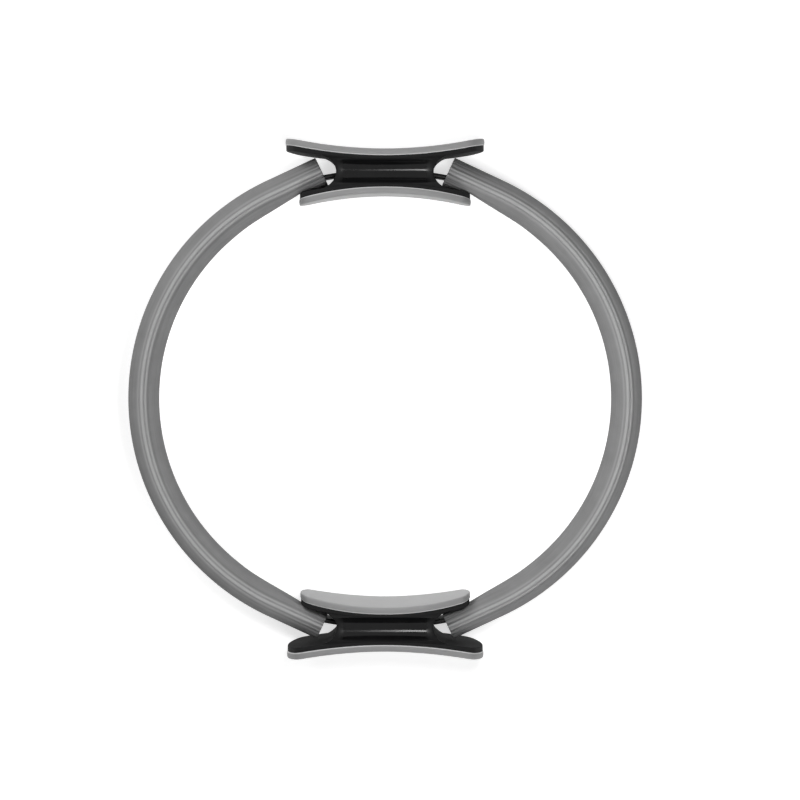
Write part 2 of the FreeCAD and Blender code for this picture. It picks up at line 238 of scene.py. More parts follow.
class NodeBoard:
    """The node tree of a material or of the surroundings, with short calls to place nodes and join them."""

    def __init__(self, owner: bpy.types.ID) -> None:
        """Start with an empty tree.

        Args:
            owner: The material or world that the tree belongs to.
        """
        self.owner = owner
        owner.use_nodes = True
        self.tree = owner.node_tree
        self.tree.nodes.clear()

    def fill(self, socket: Socket, value: object) -> None:
        """Join an output to a socket, or set the socket's own value.

        Args:
            socket: The input to fill.
            value: An output socket or a plain value.
        """
        if isinstance(value, Socket):
            self.tree.links.new(value, socket)
        else:
            socket.default_value = value

    def node(self, kind: str, settings: Optional[dict] = None, **sockets: object) -> bpy.types.Node:
        """Place a node, set its options and fill its sockets.

        Args:
            kind: The node's type name.
            settings: Options of the node itself.
            **sockets: Values or output sockets by input name, with underscores for spaces.

        Returns:
            The new node.
        """
        made = self.tree.nodes.new(kind)
        for key, value in (settings or {}).items():
            setattr(made, key, value)
        for key, value in sockets.items():
            self.fill(made.inputs[key.replace("_", " ")], value)
        return made

    def places(self, scale: Place, along_surface: bool = False) -> Socket:
        """Give places in the frame, or along the piece's own surface, in cycles to the metre."""
        source = self.node("ShaderNodeTexCoord").outputs["UV" if along_surface else "Object"]
        return self.node("ShaderNodeMapping", Vector=source, Scale=scale).outputs["Vector"]

    def noise(self, where: Socket, detail: float, strength: float = 0.5) -> Socket:
        """Give a cloudy value from 0 to 1, with so many finer layers of such a strength."""
        made = self.node("ShaderNodeTexNoise", Vector=where, Scale=1.0, Detail=detail, Roughness=strength)
        return made.outputs["Fac"]

    def cells(self, where: Socket) -> Socket:
        """Give the distance to the nearest of many scattered points, as foam cells show it."""
        return self.node("ShaderNodeTexVoronoi", Vector=where, Scale=1.0).outputs["Distance"]

    def attribute(self, name: str) -> Socket:
        """Give a value that the piece carries on its own points."""
        return self.node("ShaderNodeAttribute", {"attribute_name": name}).outputs["Fac"]

    def remap(self, value: Socket, low: object, high: object,
              start: float = 0.0, end: float = 1.0) -> Socket:
        """Stretch a value from the range start to end to the range low to high, held at both ends."""
        sockets = {"Value": value, "From_Min": start, "From_Max": end, "To_Min": low, "To_Max": high}
        return self.node("ShaderNodeMapRange", **sockets).outputs["Result"]

    def combine(self, operation: str, *values: object) -> Socket:
        """Work out one number from others.

        Args:
            operation: The sum's type name.
            *values: Output sockets or plain numbers, in order.

        Returns:
            The result.
        """
        made = self.node("ShaderNodeMath", {"operation": operation})
        for socket, value in zip(made.inputs, values):
            self.fill(socket, value)
        return made.outputs[0]

    def off_lines(self, axis: str, middle: float) -> Socket:
        """Give how far a place lies, along an axis, from the nearer of two lines beside the frame's middle.

        Args:
            axis: Letter of the axis.
            middle: The two lines' distance from the frame's middle.

        Returns:
            The distance in metres.
        """
        places = self.node("ShaderNodeTexCoord").outputs["Object"]
        along = self.node("ShaderNodeSeparateXYZ", Vector=places).outputs[axis]
        from_line = self.combine("SUBTRACT", self.combine("ABSOLUTE", along), middle)
        return self.combine("ABSOLUTE", from_line)

    def tint(self, share: Socket, low: object, high: Colour) -> Socket:
        """Mix two colours by a share.

        Args:
            share: How much of the second colour shows, from 0 to 1.
            low: First colour, plain or an output socket.
            high: Second colour.

        Returns:
            The mixed colour.
        """
        made = self.node("ShaderNodeMix", {"data_type": "RGBA"})
        first = low if isinstance(low, Socket) else (*low, 1.0)
        for number, value in zip(MIX_SOCKETS, (share, first, (*high, 1.0))):
            self.fill(made.inputs[number], value)
        return made.outputs[MIX_RESULT]

    def relief(self, height: Socket, depth: float) -> Socket:
        """Turn a height from 0 to 1 into a bent surface direction, with the depth in metres."""
        return self.node("ShaderNodeBump", Height=height, Distance=depth, Strength=1.0).outputs["Normal"]

    def seen_rays(self) -> Socket:
        """Give 1 for rays that show the background: from the camera, off gloss or through glass.

        Returns:
            The ray test.
        """
        rays = self.node("ShaderNodeLightPath").outputs
        shown = self.combine("MAXIMUM", rays["Is Camera Ray"], rays["Is Glossy Ray"])
        return self.combine("MAXIMUM", shown, rays["Is Transmission Ray"])

    def surface(self, result: Socket) -> None:
        """Join a shader's result to the tree's output."""
        world = isinstance(self.owner, bpy.types.World)
        self.node("ShaderNodeOutputWorld" if world else "ShaderNodeOutputMaterial", Surface=result)

    def finish(self, colour: Socket, rough: Socket, normal: Socket, **fixed: float) -> bpy.types.Material:
        """End a material with a surface shader.

        Args:
            colour: Base colour.
            rough: Roughness from 0 to 1.
            normal: Bent surface direction.
            **fixed: Values that are the same all over the surface, by input name.

        Returns:
            The material.
        """
        joined = {"Base_Color": colour, "Roughness": rough, "Normal": normal}
        self.surface(self.node("ShaderNodeBsdfPrincipled", **joined, **fixed).outputs["BSDF"])
        return self.owner


@dataclass(frozen=True)
class SleeveFoam:
    """Closed-cell foam tube: a soft skin with drawn lines along its length and open cells at its cuts, with
    a painted highlight on its crests and painted shade in its creases.
    """

    dark: Colour = (0.222, 0.222, 0.223)
    light: Colour = (0.274, 0.274, 0.275)
    # Painted highlight: the crests are lightened to this colour where light catches them.
    crest_colour: Colour = (0.42, 0.42, 0.421)
    # Painted shade: the pleats' creases and the valley beside the ridge are darkened to this colour.
    crease_colour: Colour = (0.09, 0.09, 0.091)
    crease_share: float = 0.8
    cut_colour: Colour = (0.15, 0.15, 0.151)
    lines_per_metre: Place = (16.0, 1400.0, 1.0)
    line_height: float = 0.7
    cells_per_metre: float = 1600.0
    cell_height: float = 0.5
    clouds_per_metre: float = 60.0
    relief_depth: float = 0.12 * MM
    rough: Span = (0.74, 0.86)
    reflection: float = 0.12

    def material(self) -> bpy.types.Material:
        """Build the finish.

        Returns:
            The material.
        """
        board = NodeBoard(bpy.data.materials.new("sleeve_foam"))
        lines = board.noise(board.places(self.lines_per_metre, True), detail=3.0, strength=0.6)
        cloud = board.noise(board.places((self.clouds_per_metre,) * 3), detail=4.0)
        pores = board.cells(board.places((self.cells_per_metre,) * 3))
        share = board.remap(board.combine("ADD", lines, cloud), 0.0, 1.0, *TWO_CLOUDS)
        skin = board.tint(share, self.dark, self.light)
        # Painted highlight on the crests over the band.
        crest_highlighted = board.tint(board.attribute("crest"), skin, self.crest_colour)
        # Painted shade in the creases and in the valley beside the ridge.
        crease = board.remap(board.attribute("crease"), 0.0, self.crease_share)
        crease_shaded = board.tint(crease, crest_highlighted, self.crease_colour)
        colour = board.tint(board.attribute("cut"), crease_shaded, self.cut_colour)
        drawn = board.remap(lines, 0.0, self.line_height)
        height = board.combine("ADD", drawn, board.remap(pores, 0.0, self.cell_height))
        normal = board.relief(height, self.relief_depth)
        rough = board.remap(cloud, *self.rough, *ONE_CLOUD)
        return board.finish(colour, rough, normal, Specular_IOR_Level=self.reflection)


@dataclass(frozen=True)
class PadFoam:
    """Moulded foam pad: pale grey and finely pebbled, with darker cut edges that are partly painted shade
    and a painted highlight along its back rims.
    """

    dark: Colour = (0.36, 0.36, 0.362)
    light: Colour = (0.41, 0.41, 0.412)
    # Cut edge colour: open foam cells, darkened further as painted shade, where the edges catch less light
    # than the faces.
    cut_edge: Colour = (0.24, 0.24, 0.241)
    # Painted highlight: a light line along the back rim, where its rounding catches light.
    painted_rim_highlight: Colour = (0.72, 0.72, 0.722)
    rim_highlight_share: float = 0.9
    pebbles_per_metre: float = 1100.0
    pebble_height: float = 0.7
    grains_per_metre: float = 2600.0
    grain_height: float = 0.4
    clouds_per_metre: float = 45.0
    relief_depth: float = 0.08 * MM
    rough: Span = (0.5, 0.66)
    reflection: float = 0.5
    sheen: float = 0.1
    sheen_rough: float = 0.5

    def material(self) -> bpy.types.Material:
        """Build the finish.

        Returns:
            The material.
        """
        board = NodeBoard(bpy.data.materials.new("pad_foam"))
        cloud = board.noise(board.places((self.clouds_per_metre,) * 3), detail=5.0, strength=0.55)
        pebbles = board.cells(board.places((self.pebbles_per_metre,) * 3))
        grain = board.noise(board.places((self.grains_per_metre,) * 3), detail=2.0)
        face = board.tint(board.remap(cloud, 0.0, 1.0, *ONE_CLOUD), self.dark, self.light)
        # Partly painted shade: the cut edges are darker than the faces.
        edge_darkened = board.tint(board.attribute("edge"), face, self.cut_edge)
        # Painted highlight along the back rim.
        colour = board.tint(board.remap(board.attribute("rim"), 0.0, self.rim_highlight_share), edge_darkened, self.painted_rim_highlight)
        coarse = board.remap(pebbles, 0.0, self.pebble_height)
        height = board.combine("ADD", coarse, board.remap(grain, 0.0, self.grain_height))
        normal = board.relief(height, self.relief_depth)
        rough = board.remap(cloud, *self.rough, *ONE_CLOUD)
        return board.finish(colour, rough, normal, Specular_IOR_Level=self.reflection,
                            Sheen_Weight=self.sheen, Sheen_Roughness=self.sheen_rough)


@dataclass(frozen=True)
class GripPlastic:
    """Moulded black plastic: polished in the neck's grooves, spark-eroded on the flanges, a little worn."""

    dark: Colour = (0.004, 0.004, 0.0042)
    light: Colour = (0.008, 0.008, 0.0083)
    grains_per_metre: float = 2200.0
    marks_per_metre: Place = (160.0, 900.0, 900.0)
    clouds_per_metre: float = 38.0
    neck_y: float = 166.95 * MM
    groove_half: float = 7.5 * MM
    groove_edge: float = 1.5 * MM
    groove_length_half: float = 29.5 * MM
    groove_fade: float = 5.5 * MM
    polished_rough: Span = (0.09, 0.18)
    polished_grain: float = 0.25
    eroded_rough: Span = (0.74, 0.86)
    relief_depth: float = 0.04 * MM
    reflection: float = 0.19

    def material(self) -> bpy.types.Material:
        """Build the finish.

        Returns:
            The material.
        """
        board = NodeBoard(bpy.data.materials.new("grip_plastic"))
        cloud = board.noise(board.places((self.clouds_per_metre,) * 3), detail=5.0, strength=0.6)
        grain = board.noise(board.places((self.grains_per_metre,) * 3), detail=2.0)
        marks = board.noise(board.places(self.marks_per_metre), detail=3.0, strength=0.7)
        across, along = board.off_lines("Y", self.neck_y), board.off_lines("X", 0.0)
        off_side = board.remap(across, 0.0, 1.0, self.groove_half, self.groove_half + self.groove_edge)
        fade_end = self.groove_length_half + self.groove_fade
        off_end = board.remap(along, 0.0, 1.0, self.groove_length_half, fade_end)
        off_groove = board.combine("MAXIMUM", off_side, off_end)
        polished = board.remap(board.combine("ADD", cloud, marks), *self.polished_rough, *TWO_CLOUDS)
        eroded = board.remap(cloud, *self.eroded_rough, *ONE_CLOUD)
        colour = board.tint(board.remap(cloud, 0.0, 1.0, *ONE_CLOUD), self.dark, self.light)
        height = board.combine("MULTIPLY", grain, board.remap(off_groove, self.polished_grain, 1.0))
        rough = board.remap(off_groove, polished, eroded)
        normal = board.relief(height, self.relief_depth)
        return board.finish(colour, rough, normal, Specular_IOR_Level=self.reflection)


@dataclass(frozen=True)
class BandLaminate:
    """Black glass fibre strip, with fibres drawn along its length."""

    dark: Colour = (0.008, 0.008, 0.008)
    light: Colour = (0.022, 0.022, 0.022)
    fibres_per_metre: Place = (25.0, 2500.0, 1.0)
    relief_depth: float = 0.03 * MM
    rough: Span = (0.32, 0.48)
    reflection: float = 0.1

    def material(self) -> bpy.types.Material:
        """Build the finish.

        Returns:
            The material.
        """
        board = NodeBoard(bpy.data.materials.new("band_laminate"))
        fibres = board.noise(board.places(self.fibres_per_metre, True), detail=4.0, strength=0.7)
        colour = board.tint(board.remap(fibres, 0.0, 1.0, *ONE_CLOUD), self.dark, self.light)
        rough = board.remap(fibres, *self.rough, *ONE_CLOUD)
        normal = board.relief(fibres, self.relief_depth)
        return board.finish(colour, rough, normal, Specular_IOR_Level=self.reflection)


@dataclass(frozen=True)
class ScrewSteel:
    """Zinc plated steel screws with a turned grain."""

    dark: Colour = (0.42, 0.42, 0.43)
    light: Colour = (0.62, 0.62, 0.63)
    grain_per_metre: Place = (700.0, 3500.0, 700.0)
    relief_depth: float = 0.01 * MM
    rough: Span = (0.28, 0.42)

    def material(self) -> bpy.types.Material:
        """Build the finish.

        Returns:
            The material.
        """
        board = NodeBoard(bpy.data.materials.new("screw_steel"))
        grain = board.noise(board.places(self.grain_per_metre), detail=3.0, strength=0.6)
        colour = board.tint(board.remap(grain, 0.0, 1.0, *ONE_CLOUD), self.dark, self.light)
        rough = board.remap(grain, *self.rough, *ONE_CLOUD)
        normal = board.relief(grain, self.relief_depth)
        return board.finish(colour, rough, normal, Metallic=1.0)


@dataclass(frozen=True)
class Outline:
    """A grip's outline seen along Y: straight in the middle, arched shoulders, round corners, blunt ends."""

    length: float
    width: float
    flat_length: float
    shoulder_radius: float
    end_radius: float
    corner_radius: float

    def corner_centre(self) -> tuple[float, float]:
        """Find the centre of the corner arc, which touches the shoulder and the end arc from inside.

        The centre lies where two circles cross: about the shoulder's centre and about the end's centre,
        each smaller than its arc by the corner radius.

        Returns:
            The corner centre's two places.
        """
        shoulder = np.array([self.flat_length / 2, self.width / 2 - self.shoulder_radius])
        end = np.array([self.length / 2 - self.end_radius, 0.0])
        reach = self.shoulder_radius - self.corner_radius
        way = end - shoulder
        apart = float(np.linalg.norm(way))
        along = (reach**2 - (self.end_radius - self.corner_radius) ** 2 + apart**2) / (2 * apart)
        aside = np.sqrt(reach**2 - along**2)
        across = np.array([way[1], -way[0]]) / apart
        place = shoulder + way / apart * along + across * aside
        return float(place[0]), float(place[1])

    def quarter(self, count: int) -> np.ndarray:
        """Walk a quarter of the outline, from the middle of the long edge to the tip.

        Args:
            count: How many points.

        Returns:
            The points, one row each.
        """
        flat, half = self.flat_length / 2, self.width / 2
        corner = self.corner_centre()
        from_shoulder = np.arctan2(corner[1] - (half - self.shoulder_radius), corner[0] - flat)
        from_end = np.arctan2(corner[1], corner[0] - (self.length / 2 - self.end_radius))
        arcs = (
            ((flat, half - self.shoulder_radius), self.shoulder_radius, np.pi / 2, from_shoulder),
            (corner, self.corner_radius, from_shoulder, from_end),
            ((self.length / 2 - self.end_radius, 0.0), self.end_radius, from_end, 0.0),
        )
        first, *others = (arc_points(*arc, OUTLINE_POINTS) for arc in arcs)
        line = np.vstack([np.array([[0.0, half]]), first, *(other[1:] for other in others)])
        return spread_evenly(line, count, closed=False)

    def around(self, quarter_count: int) -> np.ndarray:
        """Walk the whole outline: one quarter, then its mirror images.

        Args:
            quarter_count: How many steps a quarter has.

        Returns:
            The points, one row each, without the first one repeated.
        """
        first = self.quarter(quarter_count + 1)
        lower = first[::-1] * np.array([1.0, -1.0])
        right = np.vstack([first, lower[1:]])
        left = right[::-1] * np.array([-1.0, 1.0])
        return np.vstack([right, left[1:-1]])


@dataclass
class GripPad:
    """A foam pad glued on a grip's flange, curved as a saddle."""

    side: Side
    layer: Layer
    outline: Outline
    saddle_radius: float
    thickness: float = 5.0 * MM
    face_rim: float = 1.3 * MM
    back_rim: float = 0.8 * MM
    edge_swell: float = 0.12 * MM
    crown: float = 0.4 * MM
    even_inset: float = 6.0 * MM
    middle_share: float = 0.86
    quarter_steps: int = 72
    rim_points: int = 7
    near_rings: int = 5
    far_rings: int = 14

    @property
    def node(self) -> str:
        """Name the frame's solid that the pad stands for."""
        return f"{self.side.name.lower()}_{self.layer.value}"

    def profile(self) -> np.ndarray:
        """Give the pad's edge in section, from the back to the face.

        Each row holds the distance inside the outline, the depth below the face, how much it belongs to the
        back rim, which carries a painted highlight, and how much to the cut edge, which is partly painted
        shade. The back rim and the face rim are quarter circles, and the edge between them swells as half a
        sine.

        Returns:
            The section's points, one row each.
        """
        turn = np.linspace(0.0, np.pi / 2, self.rim_points)
        back = np.stack([
            self.back_rim * (1 - np.sin(turn)),
            self.thickness - self.back_rim * (1 - np.cos(turn)),
            np.sin(2 * turn),
            np.sin(turn),
        ], axis=-1)
        rise = np.linspace(0.0, 1.0, self.rim_points)[1:-1]
        edge = np.stack([
            -self.edge_swell * np.sin(np.pi * rise),
            (self.thickness - self.back_rim) * (1 - rise) + self.face_rim * rise,
            np.zeros_like(rise),
            np.ones_like(rise),
        ], axis=-1)
        face = np.stack([
            self.face_rim * (1 - np.cos(turn)),
            self.face_rim * (1 - np.sin(turn)),
            np.zeros_like(turn),
            np.cos(turn) ** 2,
        ], axis=-1)
        return np.vstack([back, edge, face])

    def flat_rings(self) -> tuple[np.ndarray, np.ndarray, np.ndarray]:
        """Carry the section round the outline and fill both faces.

        Within an even inset the rings keep their distance to the outline. Further in they close on a line
        along the pad's middle. The face rises to the crown as the square of the way in.

        Returns:
            Places in the outline's plane, depths below the face, and the rim and edge shares, as rings.
        """
        edge = self.outline.around(self.quarter_steps)
        ahead = np.roll(edge, -1, axis=0) - np.roll(edge, 1, axis=0)
        inwards = np.stack([ahead[:, 1], -ahead[:, 0]], axis=-1)
        inwards /= np.linalg.norm(inwards, axis=1, keepdims=True)
        inwards *= -np.sign(np.sum(inwards * edge, axis=1, keepdims=True))
        section = self.profile()
        rim = edge[None] + inwards[None] * section[:, :1, None]
        inner = edge + inwards * self.even_inset
        middle = inner * np.array([self.middle_share, 0.0])
        even = np.linspace(0.0, 1.0, self.far_rings)
        far_way = (smooth_step(even) + even) / 2
        near_way = np.linspace(0.0, 1.0, self.near_rings)

        def fill(start: np.ndarray) -> np.ndarray:
            """Give rings from a start ring to the even inset and on to the middle line."""
            near = start[None] + (inner - start)[None] * near_way[1:, None, None]
            far = inner[None] + (middle - inner)[None] * far_way[1:, None, None]
            return np.vstack([near, far])

        face, back = fill(rim[-1]), fill(rim[0])[::-1]
        places = np.vstack([back, rim, face])
        way_in = np.linspace(0.0, 1.0, len(face) + 1)[1:]
        face_depth = -self.crown * (1 - (1 - way_in) ** 2)
        depth = np.concatenate([np.full(len(back), self.thickness), section[:, 1], face_depth])
        share = np.vstack([np.zeros((len(back), 2)), section[:, 2:], np.zeros((len(face), 2))])
        return places, depth, share

    def build(self) -> bpy.types.Object:
        """Curve the flat rings on the saddle and put them at the frame's solid.

        A point at depth d below the face lies on a cylinder of the saddle radius plus d, whose axis stands
        one saddle radius off the middle of the face.

        Returns:
            The pad.
        """
        low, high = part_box(self.node)
        places, depth, share = self.flat_rings()
        x, z = places[..., 0], places[..., 1]
        reach = np.sqrt((self.saddle_radius + depth[:, None]) ** 2 - x**2)
        mid_height = (low.z + high.z) / 2
        if self.layer is Layer.OUTER:
            back_y = low.y if self.side is Side.NORTH else -high.y
            y = back_y + self.thickness + self.saddle_radius - reach
        else:
            back_y = high.y if self.side is Side.NORTH else -low.y
            y = back_y - self.thickness - self.saddle_radius + reach
        points = half_turned(np.stack([x, y, mid_height + z], axis=-1), self.side.value)
        rows, columns = x.shape
        steps = (np.linspace(0.0, 1.0, rows), np.linspace(0.0, 1.0, columns + 1))
        along, round_it = np.meshgrid(*steps, indexing="ij")
        uv = np.stack([round_it * self.outline.length, along * self.outline.width], axis=-1)
        rim, edge = (np.broadcast_to(column[:, None], x.shape) for column in share.T)
        surface = Surface(self.node + "_foam", points, uv, attributes={"rim": rim, "edge": edge})
        return surface.build()


@dataclass
class Grip:
    """A padded grip: two foam pads on a moulded spool of two shells, held by screws."""

    side: Side
    outer: Outline = Outline(146 * MM, 60 * MM, 36 * MM, 255 * MM, 42 * MM, 10 * MM)
    inner: Outline = Outline(126 * MM, 60 * MM, 16 * MM, 124 * MM, 40 * MM, 8 * MM)
    outer_saddle: float = 307.0 * MM
    inner_saddle: float = 243.0 * MM

    @property
    def body(self) -> str:
        """Name the frame's body that the grip's pieces ride on."""
        return f"{self.side.name.lower()}_grip"

    def build_pads(self, foam: bpy.types.Material) -> None:
        """Make both pads, dress them and let them ride on the grip.

        Args:
            foam: The pads' finish.
        """
        for layer, outline, saddle in (
            (Layer.OUTER, self.outer, self.outer_saddle),
            (Layer.INNER, self.inner, self.inner_saddle),
        ):
            pad = GripPad(self.side, layer, outline, saddle)
            piece = pad.build()
            piece.data.materials.append(foam)
            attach(piece, self.body)
            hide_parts(pad.node)
            log.info("pad %s: %d points", piece.name, len(piece.data.vertices))

    def dress_shells(self, plastic: bpy.types.Material, steel: bpy.types.Material) -> None:
        """Give the frame's own shells and screws their finish.

        Args:
            plastic: The shells' finish.
            steel: The screws' finish.
        """
        name = self.side.name.lower()
        for part, finish in (("outer_shell", plastic), ("inner_shell", plastic), ("screws", steel)):
            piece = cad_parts[f"{name}_{part}"]
            piece.data.materials.clear()
            piece.data.materials.append(finish)
            log.info("dressed %s", piece.name)


@dataclass
class HoopHalf:
    """Half of the hoop: a flat sprung band in a foam sleeve."""

    hand: Hand
    band_thickness: float = 3.4 * MM
    band_edge: float = 0.5 * MM
    neck_half: float = 35.5 * MM
    sleeve_gap: float = 11.0 * MM
    end_slope: float = np.radians(25.0)
    end_crowding: float = 0.85
    oval_power: float = 1.85
    ridge_height: float = 0.55 * MM
    ridge_width: float = 0.95 * MM
    plateau_out: float = -0.2 * MM
    plateau_half: float = 1.25 * MM
    ridge_out: float = 2.9 * MM
    ridge_share: float = 1.0
    streak_out: float = -3.0 * MM
    streak_share: float = 0.45
    valley_out: float = 4.3 * MM
    valley_width: float = 1.0 * MM
    valley_depth: float = 0.7 * MM
    valley_shade: float = 0.45
    pleat_depth: float = 0.5 * MM
    pleat_width: float = 0.55 * MM
    pleat_fade: float = 18.0 * MM
    pleat_count: int = 34
    pleat_stray: Span = (-0.35, 0.35)
    pleat_depths: Span = (0.35, 1.0)
    pleat_reaches: Span = (0.5, 1.6)
    cut_edge: float = 0.4 * MM
    bore_clearance: float = 0.3 * MM
    press_clearance: float = 0.25 * MM
    press_soft: float = 0.5 * MM
    flange_tip_x: float = 62.6 * MM
    flange_back_y: float = 157.85 * MM
    flange_back_radius: float = 326.8 * MM
    blend_share: float = 0.84
    oval_points: int = 4000
    columns: int = 256
    rows: int = 240
    bore_rows: int = 60
    cut_rings: int = 6
    band_columns: int = 40
    band_rows: int = 181
    tail_rows: int = 5
    seed: int = 11

    def __post_init__(self) -> None:
        """Read the hoop's radius, offset and widths from the frame's boxes of the right half."""
        low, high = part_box("right_band")
        sleeve_low, sleeve_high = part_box("right_sleeve")
        self.butt_x = low.x
        self.radius = high.y - self.band_thickness / 2
        self.offset = high.x - self.band_thickness / 2 - self.radius
        self.mid_height = (low.z + high.z) / 2
        self.band_width = high.z - low.z
        self.sleeve_half = sleeve_high.x - self.offset - self.radius
        self.sleeve_tall = (sleeve_high.z - sleeve_low.z) / 2
        self.bend_angle = np.pi / 2 - self.end_slope
        bend_x = self.offset + self.radius * np.sin(self.end_slope)
        self.straight = (bend_x - self.neck_half - self.sleeve_gap) / np.cos(self.end_slope)
        self.half_length = self.radius * self.bend_angle + self.straight

    @property
    def name(self) -> str:
        """Name the hand in the frame's words."""
        return self.hand.name.lower()

    def on_path(self, walk: np.ndarray, bend: float, out: np.ndarray, up: np.ndarray) -> np.ndarray:
        """Place points beside a path that follows the right half circle and leaves it straight at both ends.

        Up to the bend angle the path is the half circle, and what is left of the walk goes on along the
        tangent there.

        Args:
            walk: Way along the path, 0 where it crosses the X axis.
            bend: Angle about the half circle's centre at which the path becomes straight.
            out: Distance outwards from the path.
            up: Height over the hoop's middle plane.

        Returns:
            Places in the frame.
        """
        angle = np.clip(walk / self.radius, -bend, bend)
        onward = walk - angle * self.radius
        away = self.radius + out
        x = self.offset + away * np.cos(angle) - onward * np.sin(angle)
        y = away * np.sin(angle) + onward * np.cos(angle)
        return np.stack([x, y, np.broadcast_to(self.mid_height + up, x.shape)], axis=-1)

    def on_top(self, up: np.ndarray) -> np.ndarray:
        """Give 1 on the sleeve's top and underside, easing to 0 half way down its flanks."""
        return smooth_step(np.abs(up) / self.sleeve_tall * 2 - 1)

    def crests(self, section: np.ndarray) -> np.ndarray:
        """Give how far the band inside stretches the foam, from 0 to 1, at points of a section: the skin
        rises by it, and the painted highlight on the crests follows it.

        A plateau, a curve flatter than a bell, lies over the band. A ridge and a weaker streak, both bell
        curves, run beside it, the ridge to the right in the frame on both halves.

        Args:
            section: Points out from the hoop and up, one row each.

        Returns:
            One share for each point.
        """
        out = section[:, 0] * self.hand.value
        plateau = np.exp(-(((out - self.plateau_out) / self.plateau_half) ** 4))
        ridge = self.ridge_share * bell(out, self.ridge_out, self.ridge_width)
        streak = self.streak_share * bell(out, self.streak_out, self.ridge_width)
        return self.on_top(section[:, 1]) * np.maximum(plateau, np.maximum(ridge, streak))

    def valley(self, section: np.ndarray) -> np.ndarray:
        """Give the depth, from 0 to 1, of the valley at the ridge's foot: a bell curve across a section."""
        out = section[:, 0] * self.hand.value
        return self.on_top(section[:, 1]) * bell(out, self.valley_out, self.valley_width)

    def skin_section(self) -> np.ndarray:
        """Give the sleeve's oval section: an oval between a circle and a diamond, with pressed ridges.

        The oval is a superellipse. The crests over the band rise on its top and its underside, and the
        valley sinks beside them.

        Returns:
            Points out from the hoop and up, one row each, evenly spread.
        """
        turn = np.linspace(0.0, 2 * np.pi, self.oval_points, endpoint=False)
        cosine, sine = np.cos(turn), np.sin(turn)
        power = 2.0 / self.oval_power
        out = self.sleeve_half * np.sign(cosine) * np.abs(cosine) ** power
        up = self.sleeve_tall * np.sign(sine) * np.abs(sine) ** power
        oval = np.stack([out, up], axis=-1)
        rise = self.ridge_height * (self.crests(oval) - self.on_top(up))
        up = up + np.sign(up) * (rise - self.valley_depth * self.valley(oval))
        return spread_evenly(np.stack([out, up], axis=-1), self.columns, closed=True)

    def bore_section(self) -> np.ndarray:
        """Give the slot that the band fills: a rectangle with round corners.

        Returns:
            Points out from the hoop and up, one row each, evenly spread.
        """
        half_out = self.band_thickness / 2 + self.bore_clearance
        half_up = self.band_width / 2 + self.bore_clearance
        return self.rounded_slot(half_out, half_up, self.band_edge, self.columns)

    @staticmethod
    def rounded_slot(half_out: float, half_up: float, edge: float, count: int) -> np.ndarray:
        """Walk a rectangle with round corners, from the middle of its outer side.

        Args:
            half_out: Half its thickness.
            half_up: Half its width.
            edge: Corner radius.
            count: How many points.

        Returns:
            Points out and up, one row each, evenly spread.
        """
        out, up, quarter = half_out - edge, half_up - edge, np.pi / 2
        centres = ((out, up), (-out, up), (-out, -up), (out, -up))
        starts = (0.0, quarter, np.pi, 1.5 * np.pi)
        corners = [
            arc_points(centre, edge, start, start + quarter, CORNER_POINTS)
            for centre, start in zip(centres, starts)
        ]
        line = np.vstack([np.array([[half_out, 0.0]]), *corners])
        return spread_evenly(line, count, closed=True)

    def pleats(self, steps: np.ndarray, walked: np.ndarray) -> np.ndarray:
        """Give the depth of the creases that run in from each cut end.

        Each crease is a bell-shaped groove at its own place round the section, and its depth dies away
        with the distance from the cut.

        Args:
            steps: Distance of each row from the nearer cut end.
            walked: Distance of each column round the section, and the whole way round last.

        Returns:
            Depths, one row for each row of the sleeve.
        """
        chance = np.random.default_rng(self.seed + int(self.hand.value))
        total = walked[-1]
        stray = chance.uniform(*self.pleat_stray, self.pleat_count)
        place = (np.arange(self.pleat_count) + stray) * total / self.pleat_count
        depth = self.pleat_depth * chance.uniform(*self.pleat_depths, self.pleat_count)
        reach = self.pleat_fade * chance.uniform(*self.pleat_reaches, self.pleat_count)
        gap = np.abs(walked[:-1, None] - place[None])
        gap = np.minimum(gap, total - gap)
        groove = depth * bell(gap, 0.0, self.pleat_width)
        fade = np.exp(-steps[:, None] / reach[None])
        return fade @ groove.T

    def least_radius(self, angle: np.ndarray) -> np.ndarray:
        """Give how near to the half circle's centre the foam may lie, at angles about that centre.

        Beside the flange the limit is where a ray at the angle meets the flange's back face, which is part
        of a cylinder. Past the flange's tip it is the straight line from the tip that touches the sleeve's
        inner flank, and past that touch it falls away as fast as it rose.

        Args:
            angle: Angles without their sign.

        Returns:
            The least radius at each angle.
        """
        axis_y = self.flange_back_y - self.flange_back_radius
        reach = self.flange_back_radius + self.press_clearance
        tip_x = self.flange_tip_x - self.offset
        tip_y = axis_y + np.sqrt(reach**2 - self.flange_tip_x**2)
        flank = self.radius - self.sleeve_half
        tip_angle = np.arctan2(tip_y, tip_x)
        touch = tip_angle - np.arccos(flank / np.hypot(tip_x, tip_y))
        rise = flank / np.cos(angle - touch) - flank
        past_tip = flank + np.sign(angle - touch) * rise
        half = self.offset * np.cos(angle) - axis_y * np.sin(angle)
        beside = np.sqrt(half**2 + reach**2 - self.offset**2 - axis_y**2) - half
        return np.where(angle > tip_angle, beside, past_tip)

    def press_in(self, points: np.ndarray) -> np.ndarray:
        """Press the foam out of the way of both inner flanges.

        A point nearer to the half circle's centre than its least radius moves straight out to it, through
        a soft maximum: the least radius plus a smoothed ramp of what lies beyond it.

        Args:
            points: Places on the right sleeve's skin.

        Returns:
            The pressed places.
        """
        x, y = points[..., 0] - self.offset, points[..., 1]
        away = np.hypot(x, y)
        least = self.least_radius(np.abs(np.arctan2(y, x)))
        pressed = least + self.press_soft * np.logaddexp(0.0, (away - least) / self.press_soft)
        moved = points.copy()
        moved[..., 0] = self.offset + x * pressed / away
        moved[..., 1] = y * pressed / away
        return moved

